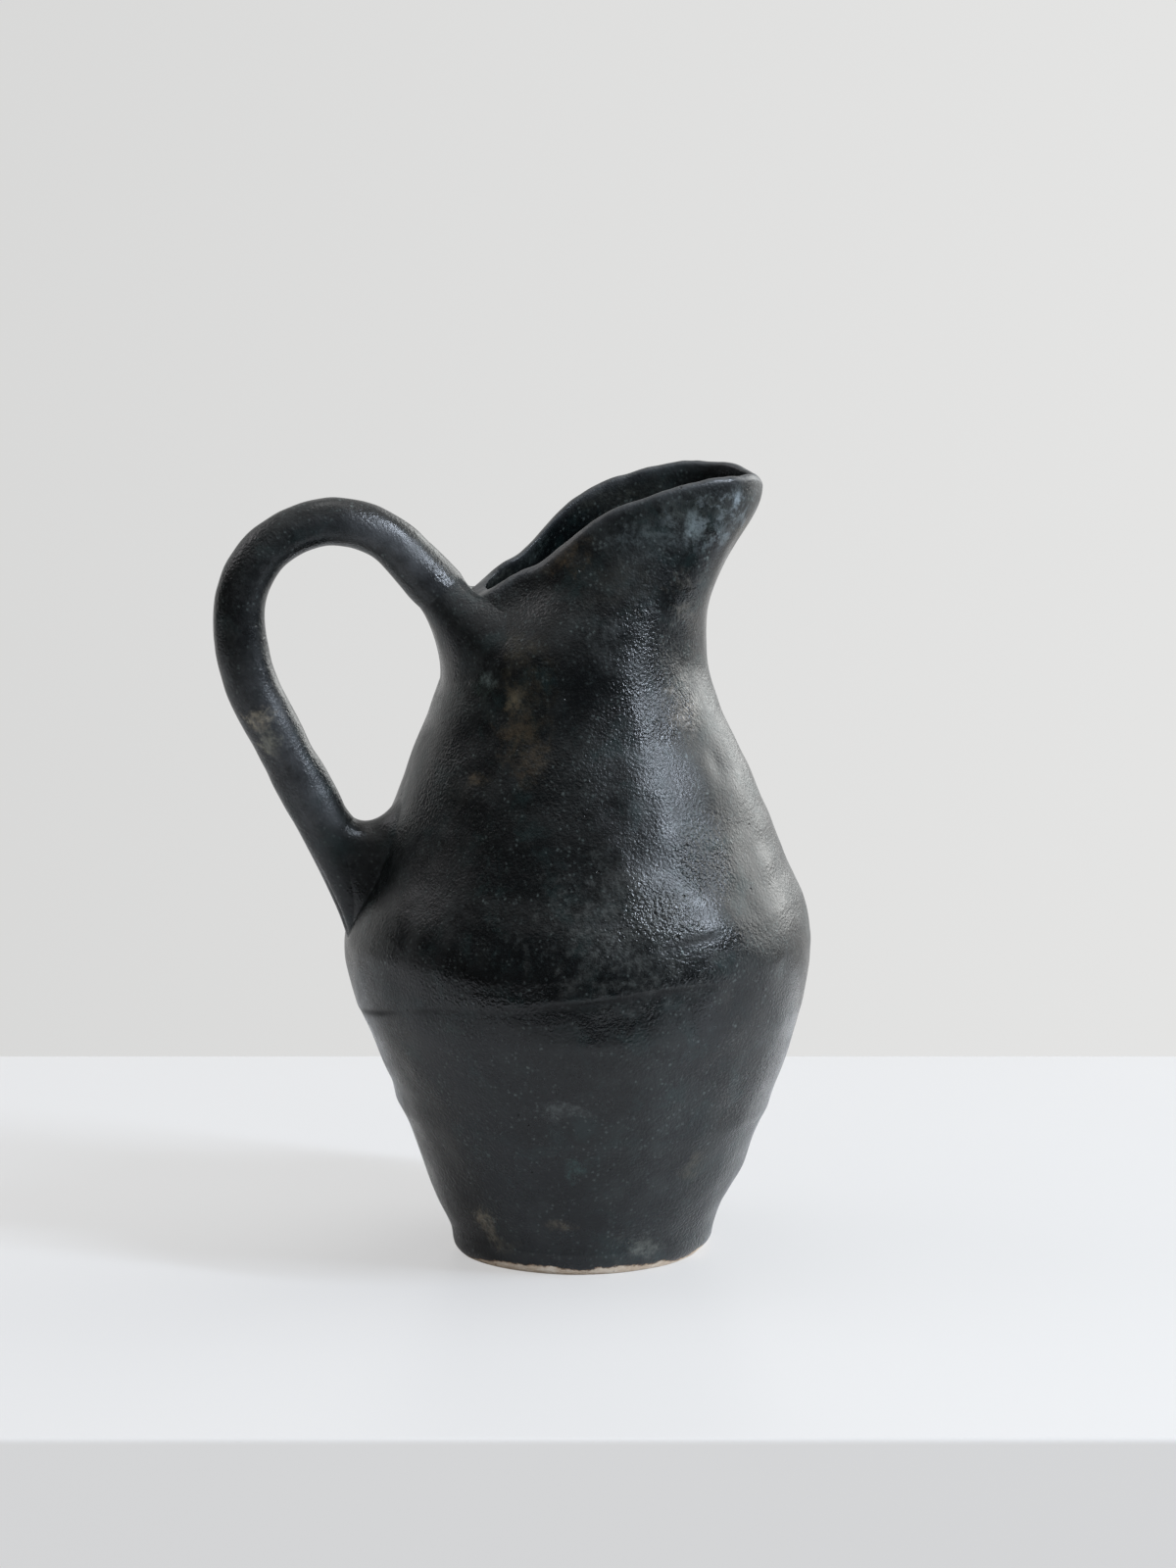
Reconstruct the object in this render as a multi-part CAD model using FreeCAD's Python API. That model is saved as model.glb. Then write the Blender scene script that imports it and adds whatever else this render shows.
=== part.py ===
# A hand-built beaked jug of dark glazed stoneware, about 244 mm tall, with one loop handle.
# The wall is a stack of flat clay rings on a floor slab, each lapped and slipped onto the one below.
# The mouth is cut away from a high pouring beak, in front, to a low notch over the handle.
# +Z is up, the beak points along +X, the handle lies along -X, and the origin is under the foot's middle.
# Lengths are in millimetres and angles in degrees.
import FreeCAD, Part
import math
import os

# Foot and floor
foot_radius = 38.4
foot_edge_round = 1.2
floor_thickness = 7.0
floor_radius = 41.6

# Body: its widest place, and where the neck is narrowest
belly_radius = 72.4
lower_body_height = 88.5
upper_body_height = 96.5
neck_radius = 39.5
neck_half_width = 38.0
lean = 1.5
wall_thickness = 6.0

# Mouth and beak
rim_back_reach = 32.0
rim_back_rise = 14.3
beak_reach = 57.2
beak_rise = 37.2
mouth_half_width = 27.5
neck_wall = 4.8
lip_wall = 3.4
lip_round = 1.1

# Joints between the rings of the wall
lap_rise = 3.0

# Coils pressed into the inside, at the floor and over the belly joint
floor_coil_leg = 6.0
belly_coil_radius = 8.0
belly_coil_proud = 2.5

# Handle: a run up from the wall, a tight loop, a wide sweep, and a straight fall to the shoulder
rod_radius = 8.1
rod_waist_radius = 7.3
top_joint_drop = 5.8
top_run = 26.8
top_run_angle = 47.0
loop_radius = 28.7
sweep_radius = 62.0
tail_joint_rise = 18.4

# Clay worked over the handle's two ends
root_bite = 3.0
top_root_reach = 10.0
top_root_drop = 7.5
top_root_length = 13.5
top_root_half_width = 12.0
tail_reach = 27.0
tail_length = 17.0
tail_half_width = 8.8

# Clay thumbed into the crotch between the tail and the belly
crotch_fill_depth = 11.8
crotch_fill_length = 6.5
crotch_fill_half_width = 9.8
crotch_tip_length = 3.0
crotch_tip_half_width = 7.0
crotch_head_length = 7.5
crotch_head_half_width = 6.5
crotch_head_rise = 3.5
crotch_saddle_radius = 9.0

# One overrun serves every cut
overrun = 6.0

# Heights that follow
belly_height = floor_thickness + lower_body_height
neck_height = belly_height + upper_body_height
rim_back_height = neck_height + rim_back_rise
lip_height = rim_back_height + beak_rise

# Joints between the rings, as shares of the way from the floor up to the neck
seam_height_shares = (0.205, 0.37, 0.57, 0.78, 0.955)

# Body outline between the floor and the belly: share of the height, of the radius, and of the lean
lower_outline_shares = (
    (0.10, 0.12, 0.7),
    (0.24, 0.275, 0.9),
    (0.37, 0.425, 1.0),
    (0.51, 0.595, 1.0),
    (0.655, 0.75, 0.9),
    (0.79, 0.885, 0.4),
    (0.90, 0.965, 0.1),
)

# Body outline between the belly and the neck: share of the height, of the way in, and of the lean
upper_outline_shares = (
    (0.08, 0.02, 0.1),
    (0.17, 0.10, 0.3),
    (0.265, 0.225, 0.3),
    (0.36, 0.35, 0.2),
    (0.51, 0.525, 0.0),
    (0.67, 0.71, -0.3),
    (0.77, 0.83, -0.5),
    (0.865, 0.93, -0.6),
)

# Mouth outline above the neck: share of the way up to the lip, of the beak's reach forward, of the
# back wall's way in, of the narrowing in width, and of the pinch behind the beak
mouth_outline_shares = (
    (0.15, 0.03, 0.35, 0.25, 0.3),
    (0.29, 0.15, 0.85, 0.50, 0.6),
    (0.46, 0.37, 1.0, 0.75, 0.85),
    (0.65, 0.66, 1.0, 0.95, 1.0),
    (0.82, 0.92, 1.0, 1.0, 1.0),
    (0.92, 1.0, 1.0, 1.0, 1.0),
    (1.0, 0.97, 1.0, 1.0, 1.0),
    (1.12, 0.85, 1.0, 1.0, 1.0),
)

# Half width of the mouth against a plain oval, from the beak's tip to the notch over the handle
pinch_shares = (1.0, 1.12, 1.18, 1.08, 1.02, 0.88, 0.61, 0.86, 1.0)

# Line of the rim seen from the side: share of the run from notch to beak, and of the rise
rim_line_shares = (
    (-0.30, -0.10),
    (0.0, 0.0),
    (0.075, 0.125),
    (0.13, 0.215),
    (0.18, 0.265),
    (0.23, 0.36),
    (0.35, 0.625),
    (0.455, 0.775),
    (0.54, 0.855),
    (0.68, 0.95),
    (0.84, 1.0),
    (0.98, 0.965),
    (1.25, 0.85),
)

# The rod is thinnest over the first share of its length, round the top of the loop
waist_share = 0.62

# How far each root has spread by the middle of its length
root_spread_share = 0.3

# How near to the knife, as a share of the lip's rounding, an edge is taken as the knife's own
touch_share = 0.01

points_round_a_section = 2 * (len(pinch_shares) - 1)
up = FreeCAD.Vector(0, 0, 1)
sideways = FreeCAD.Vector(0, 1, 0)


# A point in the jug's middle plane
def in_plane(x, z):
    return FreeCAD.Vector(x, 0, z)


# A direction in the middle plane, by its angle above the level line towards the beak
def heading(angle):
    return in_plane(math.cos(math.radians(angle)), math.sin(math.radians(angle)))


# One level of the wall: height, reach of its back and front from the axis, half width, pinch and wall
def level(height, back, front, half_width, pinch_share, wall):
    return {"height": height, "back": back, "front": front, "half_width": half_width,
            "pinch_share": pinch_share, "wall": wall}


def round_level(height, radius, shift):
    return level(height, radius - shift, radius + shift, radius, 0, wall_thickness)


# Every level of the wall, from the foot up to just above the lip
def wall_levels():
    levels = [
        round_level(0, foot_radius, 0),
        round_level(foot_edge_round, foot_radius + foot_edge_round, 0),
        round_level(floor_thickness, floor_radius, lean / 2),
    ]
    for height_share, radius_share, lean_share in lower_outline_shares:
        height = floor_thickness + height_share * lower_body_height
        radius = floor_radius + radius_share * (belly_radius - floor_radius)
        levels.append(round_level(height, radius, lean * lean_share))
    levels.append(round_level(belly_height, belly_radius, 0))
    for height_share, inward_share, lean_share in upper_outline_shares:
        height = belly_height + height_share * upper_body_height
        radius = belly_radius - inward_share * (belly_radius - neck_radius)
        levels.append(round_level(height, radius, lean * lean_share))
    levels.append(level(neck_height, neck_radius, neck_radius, neck_half_width, 0, neck_wall))
    for height_share, reach_share, back_share, width_share, pinch_share in mouth_outline_shares:
        height = neck_height + height_share * (lip_height - neck_height)
        front = neck_radius + reach_share * (beak_reach - neck_radius)
        back = neck_radius - back_share * (neck_radius - rim_back_reach)
        half_width = neck_half_width - width_share * (neck_half_width - mouth_half_width)
        wall = neck_wall - min(1, height_share) * (neck_wall - lip_wall)
        levels.append(level(height, back, front, half_width, pinch_share, wall))
    return levels


# Reach of the wall's back or front from the axis at any height, between the nearest two levels
def wall_reach(height, side):
    levels = wall_levels()
    for low, high in zip(levels, levels[1:]):
        if low["height"] <= height <= high["height"]:
            share = (height - low["height"]) / (high["height"] - low["height"])
            return low[side] + share * (high[side] - low[side])
    return levels[-1][side]


# A closed smooth section through one level, drawn in from the outside by the wall where inset is 1
def section(at, inset):
    back = at["back"] - inset * at["wall"]
    front = at["front"] - inset * at["wall"]
    half_width = at["half_width"] - inset * at["wall"]
    middle = (front - back) / 2
    reach = (front + back) / 2
    half_turn = points_round_a_section // 2
    points = []
    for step in range(points_round_a_section):
        turn = math.pi * step / half_turn
        from_tip = min(step, points_round_a_section - step)
        narrowing = 1 - at["pinch_share"] * (1 - pinch_shares[from_tip])
        across = half_width * math.sin(turn) * narrowing
        points.append(FreeCAD.Vector(middle + reach * math.cos(turn), across, at["height"]))
    curve = Part.BSplineCurve()
    curve.interpolate(Points=points, PeriodicFlag=True)
    return Part.Wire([curve.toShape()])


# The whole outside of the jug as one solid, uncut at the mouth
def outer_form():
    return Part.makeLoft([section(at, 0) for at in wall_levels()], True, False)


# The hollow inside the wall, from the top of the floor up
def hollow_form():
    levels = [at for at in wall_levels() if at["height"] >= floor_thickness]
    return Part.makeLoft([section(at, 1) for at in levels], True, False)


# What the knife takes off above the rim: everything over the rim's line, right across the jug
def cutaway_tool():
    run = beak_reach + rim_back_reach
    line = [in_plane(run * run_share - rim_back_reach, rim_back_height + beak_rise * rise_share)
            for run_share, rise_share in rim_line_shares]
    curve = Part.BSplineCurve()
    curve.interpolate(line)
    above = 2 * lip_height
    corners = [line[-1], in_plane(line[-1].x, above), in_plane(line[0].x, above), line[0]]
    edges = [Part.LineSegment(a, b).toShape() for a, b in zip(corners, corners[1:])]
    face = Part.Face(Part.Wire([curve.toShape()] + edges))
    face.translate(sideways * -belly_radius)
    return face.extrude(sideways * 2 * belly_radius)


# A face in the middle plane turned once round the jug's axis
def turned(face):
    return face.revolve(in_plane(0, 0), up, 360)


# The height of each lapped joint, in order from the foot
def seam_heights():
    return [floor_thickness + share * (neck_height - floor_thickness) for share in seam_height_shares]


# The space under one lapped joint: its top is a cone that rises towards the axis
def below_seam(height):
    outside = belly_radius + overrun
    slope = lap_rise / wall_thickness
    reach = wall_reach(height, "front")
    corners = [in_plane(0, -overrun), in_plane(outside, -overrun),
               in_plane(outside, height + slope * (reach - outside)),
               in_plane(0, height + slope * reach)]
    return turned(Part.Face(Part.makePolygon(corners + corners[:1])))


# The flat slab that the wall stands on, with the jug's own outline at its edge
def floor_slab(outer):
    side = 2 * (belly_radius + overrun)
    corner = FreeCAD.Vector(-side / 2, -side / 2, 0)
    return outer.common(Part.makeBox(side, side, floor_thickness, corner))


# A soft coil pressed into the corner where the wall meets the floor, smoothed hollow
def floor_coil(hollow):
    edge = wall_reach(floor_thickness, "front") - wall_thickness
    foot = in_plane(edge - floor_coil_leg, floor_thickness)
    head = in_plane(edge + lean, floor_thickness + floor_coil_leg)
    corner = in_plane(edge + overrun, floor_thickness)
    top = in_plane(edge + overrun, floor_thickness + floor_coil_leg)
    bow = (1 - math.sqrt(0.5)) * floor_coil_leg
    hollowed = Part.Arc(head, in_plane(edge - bow, floor_thickness + bow), foot)
    sides = [Part.LineSegment(a, b).toShape() for a, b in ((foot, corner), (corner, top), (top, head))]
    return turned(Part.Face(Part.Wire([hollowed.toShape()] + sides))).common(hollow)


# A coil smeared over the belly joint on the inside, proud of the wall in a low round band
def belly_coil(hollow):
    height = seam_heights()[1]
    inside = wall_reach(height, "front") - wall_thickness
    centre = in_plane(inside - belly_coil_proud + belly_coil_radius, height)
    circle = Part.Circle(centre, sideways, belly_coil_radius)
    return turned(Part.Face(Part.Wire([circle.toShape()]))).common(hollow)


# The places where the handle's middle line leaves the wall, at the top, and comes back to it
def handle_joints():
    top_height = rim_back_height - top_joint_drop
    tail_height = belly_height + tail_joint_rise
    return (in_plane(-wall_reach(top_height, "back"), top_height),
            in_plane(-wall_reach(tail_height, "back"), tail_height))


# The handle's middle line: straight run, loop, sweep, and a straight fall that meets the sweep smoothly
def handle_line():
    top, tail = handle_joints()
    out = in_plane(-math.cos(math.radians(top_run_angle)), math.sin(math.radians(top_run_angle)))
    loop_start = top + out * top_run
    loop_centre = loop_start - in_plane(out.z, -out.x) * loop_radius
    crown = loop_centre + heading((270 - top_run_angle) / 2) * loop_radius
    loop_end = loop_centre + heading(180) * loop_radius
    sweep_centre = loop_end + heading(0) * sweep_radius
    to_tail = tail - sweep_centre
    tail_angle = math.degrees(math.atan2(to_tail.z, to_tail.x)) % 360
    sweep_angle = tail_angle - math.degrees(math.acos(sweep_radius / to_tail.Length))
    sweep_middle = sweep_centre + heading((180 + sweep_angle) / 2) * sweep_radius
    sweep_end = sweep_centre + heading(sweep_angle) * sweep_radius
    fall = (tail - sweep_end).normalize()
    return [
        Part.LineSegment(top + out * top_root_reach, loop_start).toShape(),
        Part.Arc(loop_start, crown, loop_end).toShape(),
        Part.Arc(loop_end, sweep_middle, sweep_end).toShape(),
        Part.LineSegment(sweep_end, tail - fall * tail_reach).toShape(),
    ]


# The rolled rod of the handle: a little thinner round the top of the loop than at its two ends
def handle_rod():
    edges = handle_line()
    total = sum(edge.Length for edge in edges)
    steps_on_edges = (2, 7, 4, 3)
    rings = []
    done = 0
    for edge, steps in zip(edges, steps_on_edges):
        first = 0 if edge is edges[0] else 1
        for step in range(first, steps + 1):
            length = edge.Length * step / steps
            place = edge.getParameterByLength(length)
            turn = math.pi * min(1, (done + length) / total / waist_share)
            radius = rod_radius - math.sin(turn) * (rod_radius - rod_waist_radius)
            circle = Part.Circle(edge.valueAt(place), edge.tangentAt(place), radius)
            rings.append(Part.Wire([circle.toShape()]))
        done += edge.Length
    return Part.makeLoft(rings, True, False)


# The direction that climbs the back of the wall past a height, over a root of a given length
def wall_slope(height, length):
    below = wall_reach(height - length, "back")
    above = wall_reach(height + length, "back")
    return in_plane(below - above, 2 * length).normalize()


# A ring square to a direction in the middle plane: half as long, upright, and half as wide as given
def oval_ring(centre, direction, length, half_width):
    upright = sideways.cross(direction).normalize()
    if length > half_width:
        oval = Part.Ellipse(centre + upright * length, centre + sideways * half_width, centre)
    else:
        oval = Part.Ellipse(centre + sideways * half_width, centre + upright * length, centre)
    return Part.Wire([oval.toShape()])


# Clay worked from the end of the rod onto the wall: it widens from the rod to an oval foot in the wall
def handle_root(rod_end, rod_direction, height, length, half_width, outer):
    slope = wall_slope(height, length)
    inward = in_plane(slope.z, -slope.x)
    foot_centre = in_plane(-wall_reach(height, "back"), height) + inward * root_bite
    middle_centre = (rod_end + foot_centre) * 0.5
    middle_direction = (rod_direction + inward).normalize()
    middle_length = rod_radius + root_spread_share * (length - rod_radius)
    middle_half_width = rod_radius + root_spread_share * (half_width - rod_radius)
    rings = [
        Part.Wire([Part.Circle(rod_end, rod_direction, rod_radius).toShape()]),
        oval_ring(middle_centre, middle_direction, middle_length, middle_half_width),
        oval_ring(foot_centre, inward, length, half_width),
    ]
    return Part.makeLoft(rings, True, False).cut(outer)


def handle_top_root(outer):
    edge = handle_line()[0]
    joint = handle_joints()[0]
    return handle_root(edge.valueAt(edge.FirstParameter), edge.tangentAt(edge.FirstParameter) * -1,
                       joint.z - top_root_drop, top_root_length, top_root_half_width, outer)


def handle_tail(outer):
    edge = handle_line()[-1]
    joint = handle_joints()[1]
    return handle_root(edge.valueAt(edge.LastParameter), edge.tangentAt(edge.LastParameter),
                       joint.z, tail_length, tail_half_width, outer)


# Clay smeared into the crotch, from the tail's tip up to a saddle between the rod and the belly
def crotch_fill(outer, rod, tail):
    edge = handle_line()[-1]
    joint = handle_joints()[1]
    along_rod = edge.tangentAt(edge.LastParameter) * -1
    along_wall = wall_slope(joint.z + tail_reach / 2, tail_reach / 2)
    opening = along_wall.getAngle(along_rod)
    corner = joint + along_wall * (rod_radius / math.sin(opening))
    rising = (along_wall + along_rod).normalize()
    tip = joint - along_wall * (tail_length / 2)
    head = corner + rising * (crotch_fill_depth + crotch_head_rise)
    lump = Part.makeLoft([
        oval_ring(tip, along_wall, crotch_tip_length, crotch_tip_half_width),
        oval_ring(corner, rising, crotch_fill_length, crotch_fill_half_width),
        oval_ring(head, rising, crotch_head_length, crotch_head_half_width),
    ], True, False)
    saddle_axis = corner + rising * (crotch_fill_depth + crotch_saddle_radius)
    reach = crotch_saddle_radius + overrun
    saddle = Part.makeCylinder(crotch_saddle_radius, 2 * reach, saddle_axis - sideways * reach, sideways)
    fill = lump.cut(saddle).cut(outer).cut(rod).cut(tail)
    return max(fill.Solids, key=lambda solid: solid.Volume)


# The rim's edges, inside and outside the lip, softened as a wet sponge leaves them
def softened_rim(ring, knife):
    rim_edges = []
    for edge in ring.Edges:
        middle = edge.valueAt((edge.FirstParameter + edge.LastParameter) / 2)
        on_rim = knife.distToShape(Part.Vertex(middle))[0] < touch_share * lip_round
        if on_rim and edge.Length > 2 * lip_wall:
            rim_edges.append(edge)
    return ring.makeFillet(lip_round, rim_edges)


def build():
    outer = outer_form()
    hollow = hollow_form()
    knife = cutaway_tool()
    rod = handle_rod()
    tail = handle_tail(outer)
    nodes = {
        "floor_slab": floor_slab(outer),
        "floor_coil": floor_coil(hollow),
        "belly_coil": belly_coil(hollow),
        "handle_rod": rod,
        "handle_top_root": handle_top_root(outer),
        "handle_tail": tail,
        "crotch_fill": crotch_fill(outer, rod, tail),
    }
    wall = outer.cut(hollow).cut(knife)
    ring_names = ("foot_ring", "lower_ring", "belly_ring", "shoulder_ring", "throat_ring")
    below = nodes["floor_slab"]
    for name, seam in zip(ring_names, seam_heights()):
        nodes[name] = wall.common(below_seam(seam)).cut(below)
        below = below_seam(seam)
    nodes["beak_ring"] = softened_rim(wall.cut(below), knife)
    return nodes


os.makedirs("parts", exist_ok=True)
for name, shape in build().items():
    solid = shape.Solids[0].removeSplitter()
    solid.exportStep(os.path.join("parts", name + ".step"))
    print(f"{name}: volume {solid.Volume:.0f}, valid {solid.isValid()}, solids {len(shape.Solids)}")
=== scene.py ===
import math
import bpy
import numpy as np
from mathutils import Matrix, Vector, noise


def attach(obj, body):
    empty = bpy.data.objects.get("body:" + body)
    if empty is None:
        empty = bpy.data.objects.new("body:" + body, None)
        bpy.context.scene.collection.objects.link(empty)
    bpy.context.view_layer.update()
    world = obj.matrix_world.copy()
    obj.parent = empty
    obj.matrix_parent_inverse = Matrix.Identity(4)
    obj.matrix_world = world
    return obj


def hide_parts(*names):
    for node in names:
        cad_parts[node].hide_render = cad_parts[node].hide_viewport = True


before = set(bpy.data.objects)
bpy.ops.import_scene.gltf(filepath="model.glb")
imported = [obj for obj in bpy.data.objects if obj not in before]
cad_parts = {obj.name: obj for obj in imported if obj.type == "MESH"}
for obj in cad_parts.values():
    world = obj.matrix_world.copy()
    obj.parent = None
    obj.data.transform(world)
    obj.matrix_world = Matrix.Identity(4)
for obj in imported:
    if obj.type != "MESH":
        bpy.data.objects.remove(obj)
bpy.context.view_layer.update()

# The floor slab: a flat round of stoneware that the wall is built up on.
# The glaze runs down its edge to an uneven line, where it breaks brown, and the foot below
# that line and the whole underside are bare fired clay.

# Height, reach of the back and of the front, half width, pinch behind the beak, and wall, in mm
wall_levels = np.array((
    (0, 38.4, 38.4, 38.4, 0, 6),
    (1.2, 39.6, 39.6, 39.6, 0, 6),
    (7, 40.85, 42.35, 41.6, 0, 6),
    (15.85, 44.25, 46.35, 45.3, 0, 6),
    (28.24, 48.72, 51.42, 50.07, 0, 6),
    (39.74, 53.19, 56.19, 54.69, 0, 6),
    (52.13, 58.43, 61.43, 59.93, 0, 6),
    (64.97, 63.35, 66.05, 64.7, 0, 6),
    (76.92, 68.26, 69.46, 68.86, 0, 6),
    (86.65, 71.17, 71.47, 71.32, 0, 6),
    (95.5, 72.4, 72.4, 72.4, 0, 6),
    (103.22, 71.59, 71.89, 71.74, 0, 6),
    (111.91, 68.66, 69.56, 69.11, 0, 6),
    (121.07, 64.55, 65.45, 65, 0, 6),
    (130.24, 60.59, 61.19, 60.89, 0, 6),
    (144.72, 55.13, 55.13, 55.13, 0, 6),
    (160.16, 49.49, 48.59, 49.04, 0, 6),
    (169.81, 45.84, 44.34, 45.09, 0, 6),
    (178.97, 42.7, 40.9, 41.8, 0, 6),
    (192, 39.5, 39.5, 38, 0, 4.8),
    (199.72, 36.88, 40.03, 35.38, 0.3, 4.59),
    (206.94, 33.12, 42.16, 32.75, 0.6, 4.39),
    (215.69, 32, 46.3, 30.12, 0.85, 4.16),
    (225.47, 32, 52.1, 28.02, 1, 3.89),
    (234.23, 32, 56.8, 27.5, 1, 3.65),
    (239.38, 32, 57.2, 27.5, 1, 3.51),
    (243.5, 32, 56.67, 27.5, 1, 3.4),
    (249.68, 32, 54.55, 27.5, 1, 3.4),
))
# Half width of the pinched mouth as a share of an oval's, in even turns from the handle to the beak
pinch_round = (1.0, 0.86, 0.61, 0.88, 1.02, 1.08, 1.22, 1.26, 1.0)
columns_round = 384


# A line with no kinks through points in a row
def smooth_line(places, values):
    places, values = np.array(places, float), np.array(values, float)
    steps = np.diff(places)
    slopes = np.diff(values) / steps
    ties = np.eye(len(places))
    pulls = np.zeros(len(places))
    for i in range(1, len(places) - 1):
        ties[i, i - 1:i + 2] = steps[i - 1], 2 * (steps[i - 1] + steps[i]), steps[i]
        pulls[i] = 6 * (slopes[i] - slopes[i - 1])
    bends = np.linalg.solve(ties, pulls)

    def at(place):
        place = np.clip(place, places[0], places[-1])
        i = np.clip(np.searchsorted(places, place) - 1, 0, len(steps) - 1)
        far = (place - places[i]) / steps[i]
        near = 1 - far
        bow = ((near ** 3 - near) * bends[i] + (far ** 3 - far) * bends[i + 1]) * steps[i] ** 2 / 6
        return near * values[i] + far * values[i + 1] + bow

    return at


back_at, front_at, half_width_at, pinch_at, wall_at = [
    smooth_line(wall_levels[:, 0], wall_levels[:, column]) for column in range(1, 6)]
# The shares are the same on both sides, and go on past a full turn, so that the line closes smoothly
half_round = len(pinch_round) - 1
turns_noted = range(-half_round // 2, 5 * half_round // 2 + 1)
narrowing_at = smooth_line([180 / half_round * k for k in turns_noted],
                           [pinch_round[abs(half_round - k % (2 * half_round))] for k in turns_noted])


# Points of the plain wall in mm: turn round the jug from the beak, height, and depth into the wall
def plain_wall(turn, height, depth):
    inset = depth * wall_at(height)
    back, front = back_at(height) - inset, front_at(height) - inset
    narrowing = 1 - pinch_at(height) * (1 - narrowing_at(np.degrees(turn) % 360))
    x = (front - back) / 2 + (front + back) / 2 * np.cos(turn)
    y = (half_width_at(height) - inset) * np.sin(turn) * narrowing
    return np.stack([x, y, height + 0 * x], -1)


# The direction straight out of the plain wall
def out_of_wall(turn, height, depth):
    nudge = 0.01
    round_it = plain_wall(turn + nudge, height, depth) - plain_wall(turn - nudge, height, depth)
    up_it = plain_wall(turn, height + nudge, depth) - plain_wall(turn, height - nudge, depth)
    out = np.cross(round_it, up_it)
    return out / np.linalg.norm(out, axis=-1, keepdims=True)


# Soft bands left by the rings of clay under the hand: height, spread and how proud, in mm
bands = (
    (20.0, 3.5, -0.30),
    (31.0, 4.0, 0.30),
    (45.5, 2.8, 0.45),
    (53.0, 3.2, -0.30),
    (63.0, 3.5, 0.20),
    (78.5, 2.8, 0.40),
    (88.0, 4.0, -0.35),
    (99.0, 2.4, 0.30),
    (112.5, 2.5, 0.20),
    (121.0, 3.0, -0.25),
    (127.5, 3.0, 0.15),
    (137.0, 3.0, 0.15),
    (151.5, 3.0, 0.18),
    (168.0, 4.0, -0.30),
    (190.0, 4.0, 0.25),
)
# Creases where two rings meet and weren't quite smoothed: a line of turns, heights and strengths, how
# wide and deep the groove is, and how far the clay over it stands proud of the clay under it, in mm
creases = (
    (((-180, 77.5, 0.8), (-174, 78.5, 0.9), (-157, 82, 1.0), (-140, 86, 0.8), (-120, 89.5, 0.7),
      (-106, 91.5, 0.8), (-90, 93.8, 1.1), (-78, 95.3, 1.2), (-68, 95.5, 0.8), (-58, 94.5, 0.2),
      (-48, 93, 0), (60, 83.5, 0), (90, 84, 0.9), (130, 81, 1.0), (180, 77.5, 0.8)), 0.7, 0.30, 0.38),
    (((-106, 116.8, 0), (-98, 116.2, 0.7), (-90, 115.9, 0.7), (-82, 115.8, 0)), 0.8, 0.14, 0.08),
    (((-80, 108.5, 0), (-72, 109.3, 0.8), (-66, 110, 0.8), (-58, 111, 0)), 0.7, 0.14, 0.08),
    (((90, 113.0, 0), (105, 112.5, 1.0), (140, 111.5, 1.0), (155, 111.0, 0)), 0.8, 0.40, 0.20),
    (((95, 44.0, 0), (110, 44.6, 1.0), (150, 45.4, 1.0), (165, 45.5, 0)), 0.9, 0.35, 0.20),
)
# Dents and bumps from fingers: turn in degrees, height, spread round and up, and how proud, in mm
finger_marks = (
    (-42, 157.5, 3.4, 4.6, -0.42),
    (-15, 26.2, 9.0, 5.0, 0.8),
    (-18, 14.0, 10.0, 4.5, -0.9),
    (-9, 3.0, 10.0, 2.2, 0.6),
    (171, 47.0, 8.0, 4.0, 0.8),
    (-9, 151.3, 9.0, 5.0, 0.3),
    (-9, 136.0, 9.0, 4.0, 0.3),
    (-60, 129.0, 8.0, 7.0, 0.3),
    (-78, 126.0, 7.0, 8.0, -0.25),
    (-150, 93.0, 16.0, 5.0, -0.5),
    (-140, 106.0, 16.0, 7.0, 0.5),
    (-100, 120.0, 12.0, 9.0, -0.5),
    (-50, 172.0, 6.0, 15.0, -0.3),
    (-74, 168.0, 5.0, 14.0, 0.25),
    (171, 4.0, 12.0, 6.0, -1.5),
    (-30, 96.0, 9.0, 6.0, 0.5),
    (-110, 30.0, 14.0, 7.0, -0.5),
    (-60, 36.0, 11.0, 7.0, -0.5),
    (40, 92.0, 9.0, 7.0, -0.8),
    (70, 140.0, 7.0, 9.0, -0.8),
    (110, 60.0, 10.0, 8.0, -0.7),
    (140, 150.0, 8.0, 8.0, 0.6),
    (25, 40.0, 9.0, 8.0, 0.6),
    (95, 196.0, 6.0, 9.0, -0.6),
    (-90, 94.0, 24.0, 9.0, -0.2),
    (-59, 92.5, 4.5, 5.0, -0.45),
    (-40, 94.0, 4.5, 7.0, -0.4),
)


# Swells left over the whole wall: size, where the pattern starts, and how proud, in mm
swells = ((34.0, 11.3, 0.85), (13.0, 5.1, 0.38), (4.5, 8.9, 0.05))
inside_swell = 0.5
# How far bands and creases wander up and down, in mm, and how much of the bands the hand left
band_wander, crease_wander = 2.4, 0.9
band_strength = 0.75


# Smooth unevenness at places in mm, between about -1 and 1
def uneven(places, size, seed):
    flat = places.reshape(-1, 3)
    values = [noise.noise(Vector((x / size + seed, y / size, z / size))) for x, y, z in flat]
    return np.array(values).reshape(places.shape[:-1])


# How far bands and creases wander up or down at a place, as a share of the most
def wander_at(places):
    return uneven(places, 30.0, 3.7)


# Stretches a pattern along the wall, so that it changes with the turn and hardly with the height
along_only = (1, 1, 0.05)
# The roll of clay at a crease: how far it reaches above and below, and how sharply it turns, in mm
roll_above, roll_below, roll_turn = 4.0, 9.0, 0.5
# A crease's groove is so many times wider below it than above
run_out = 4.0


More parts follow.
